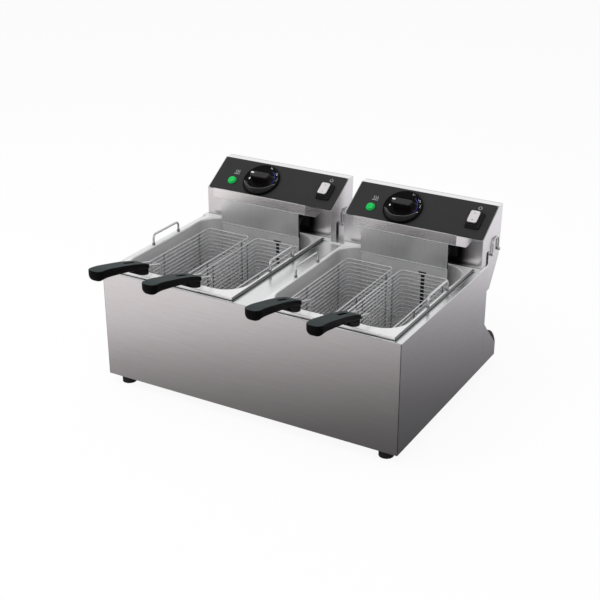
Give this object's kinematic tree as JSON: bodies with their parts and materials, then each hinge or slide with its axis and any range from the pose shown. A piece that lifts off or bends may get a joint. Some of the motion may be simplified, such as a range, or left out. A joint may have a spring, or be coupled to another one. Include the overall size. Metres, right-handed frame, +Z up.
{
  "type": "deep fryer",
  "caption": "Countertop electric deep fryer with twin lift-out tanks, wire baskets with black grips and removable control heads.",
  "frame": {"origin": "centre of the whole object's footprint, on the surface that the feet stand on", "axes": "+X to the right seen from the front, +Y from the basket grips to the heads at the back, +Z up"},
  "size_m": [0.5632, 0.531, 0.3107],
  "materials": {
    "brushed_steel": "brushed stainless steel, horizontal grain",
    "deck_steel": "bright stainless steel, fine satin",
    "pressed_steel": "drawn stainless steel, satin",
    "wire": "polished steel wire",
    "galvanised": "galvanised sheet, dull",
    "rubber": "matt black rubber",
    "black_plastic": "moulded black plastic, satin",
    "panel_black": "smooth black laminate, slight sheen",
    "lens_green": "green tinted lens",
    "cap_grey": "pale grey glossy plastic",
    "element": "tubular element sheath, dull",
    "insulator": "pale ceramic-filled plastic"
  },
  "bodies": {
    "casing": {"body_shell": "brushed_steel", "deck_panel": "deck_steel", "head_rest_plate": "deck_steel", "base_plate": "galvanised", "feet": "rubber", "rear_box": "brushed_steel", "rear_bumper": "black_plastic"},
    "tank_left": {"tank_left": "pressed_steel", "tank_handles_left": "wire"},
    "head_left": {"head_shell_left": "brushed_steel", "head_back_left": "brushed_steel", "cable_gland_left": "black_plastic", "control_panel_left": "panel_black", "hanging_rail_left": "brushed_steel", "shield_plate_left": "brushed_steel", "heating_element_left": "element", "sensor_bulbs_left": "element", "thermostat_left": "galvanised", "pilot_lamp_left": "lens_green", "switch_body_left": "black_plastic", "terminal_block_left": "insulator", "safety_cutout_left": "black_plastic", "interlock_switch_left": "black_plastic"},
    "knob_left": {"knob_left": "black_plastic"},
    "rocker_left": {"rocker_left": "cap_grey"},
    "side_handle_a_left": {"side_handle_a_left": "wire"},
    "side_handle_b_left": {"side_handle_b_left": "wire"},
    "tank_right": {"tank_right": "pressed_steel", "tank_handles_right": "wire"},
    "head_right": {"head_shell_right": "brushed_steel", "head_back_right": "brushed_steel", "cable_gland_right": "black_plastic", "control_panel_right": "panel_black", "hanging_rail_right": "brushed_steel", "shield_plate_right": "brushed_steel", "heating_element_right": "element", "sensor_bulbs_right": "element", "thermostat_right": "galvanised", "pilot_lamp_right": "lens_green", "switch_body_right": "black_plastic", "terminal_block_right": "insulator", "safety_cutout_right": "black_plastic", "interlock_switch_right": "black_plastic"},
    "knob_right": {"knob_right": "black_plastic"},
    "rocker_right": {"rocker_right": "cap_grey"},
    "side_handle_a_right": {"side_handle_a_right": "wire"},
    "side_handle_b_right": {"side_handle_b_right": "wire"},
    "basket_1": {"basket_mesh_1": "wire", "basket_frame_1": "wire", "basket_grip_1": "black_plastic"},
    "basket_2": {"basket_mesh_2": "wire", "basket_frame_2": "wire", "basket_grip_2": "black_plastic"},
    "basket_3": {"basket_mesh_3": "wire", "basket_frame_3": "wire", "basket_grip_3": "black_plastic"},
    "basket_4": {"basket_mesh_4": "wire", "basket_frame_4": "wire", "basket_grip_4": "black_plastic"}
  },
  "joints": [
    {"name": "tank_lift_left", "type": "slide", "parent": "casing", "child": "tank_left", "axis": [0, 0, 1], "range_m": [0, 0.2]},
    {"name": "head_lift_left", "type": "slide", "parent": "tank_left", "child": "head_left", "axis": [0, 0, 1], "range_m": [0, 0.2]},
    {"name": "knob_turn_left", "type": "hinge", "parent": "head_left", "child": "knob_left", "pos_m": [-0.177, 0.21195, 0.28334], "axis": [0, 0.5299, -0.848], "range_deg": [0, 270]},
    {"name": "rocker_tilt_left", "type": "hinge", "parent": "head_left", "child": "rocker_left", "pos_m": [-0.043, 0.21047, 0.28949], "axis": [1, 0, 0], "range_deg": [-7, 7]},
    {"name": "side_handle_a_swing_left", "type": "hinge", "parent": "head_left", "child": "side_handle_a_left", "pos_m": [-0.279, 0.2365, 0.227], "axis": [0, -1, 0], "range_deg": [0, 90]},
    {"name": "side_handle_b_swing_left", "type": "hinge", "parent": "head_left", "child": "side_handle_b_left", "pos_m": [-0.011, 0.2365, 0.227], "axis": [0, 1, 0], "range_deg": [0, 18]},
    {"name": "tank_lift_right", "type": "slide", "parent": "casing", "child": "tank_right", "axis": [0, 0, 1], "range_m": [0, 0.2]},
    {"name": "head_lift_right", "type": "slide", "parent": "tank_right", "child": "head_right", "axis": [0, 0, 1], "range_m": [0, 0.2]},
    {"name": "knob_turn_right", "type": "hinge", "parent": "head_right", "child": "knob_right", "pos_m": [0.113, 0.21195, 0.28334], "axis": [0, 0.5299, -0.848], "range_deg": [0, 270]},
    {"name": "rocker_tilt_right", "type": "hinge", "parent": "head_right", "child": "rocker_right", "pos_m": [0.247, 0.21047, 0.28949], "axis": [1, 0, 0], "range_deg": [-7, 7]},
    {"name": "side_handle_a_swing_right", "type": "hinge", "parent": "head_right", "child": "side_handle_a_right", "pos_m": [0.011, 0.2365, 0.227], "axis": [0, -1, 0], "range_deg": [0, 18]},
    {"name": "side_handle_b_swing_right", "type": "hinge", "parent": "head_right", "child": "side_handle_b_right", "pos_m": [0.279, 0.2365, 0.227], "axis": [0, 1, 0], "range_deg": [0, 90]},
    {"name": "basket_lift_1", "type": "slide", "parent": "head_left", "child": "basket_1", "axis": [0, 0, 1], "range_m": [0, 0.18]},
    {"name": "basket_lift_2", "type": "slide", "parent": "head_left", "child": "basket_2", "axis": [0, 0, 1], "range_m": [0, 0.18]},
    {"name": "basket_lift_3", "type": "slide", "parent": "head_right", "child": "basket_3", "axis": [0, 0, 1], "range_m": [0, 0.18]},
    {"name": "basket_lift_4", "type": "slide", "parent": "head_right", "child": "basket_4", "axis": [0, 0, 1], "range_m": [0, 0.18]}
  ]
}
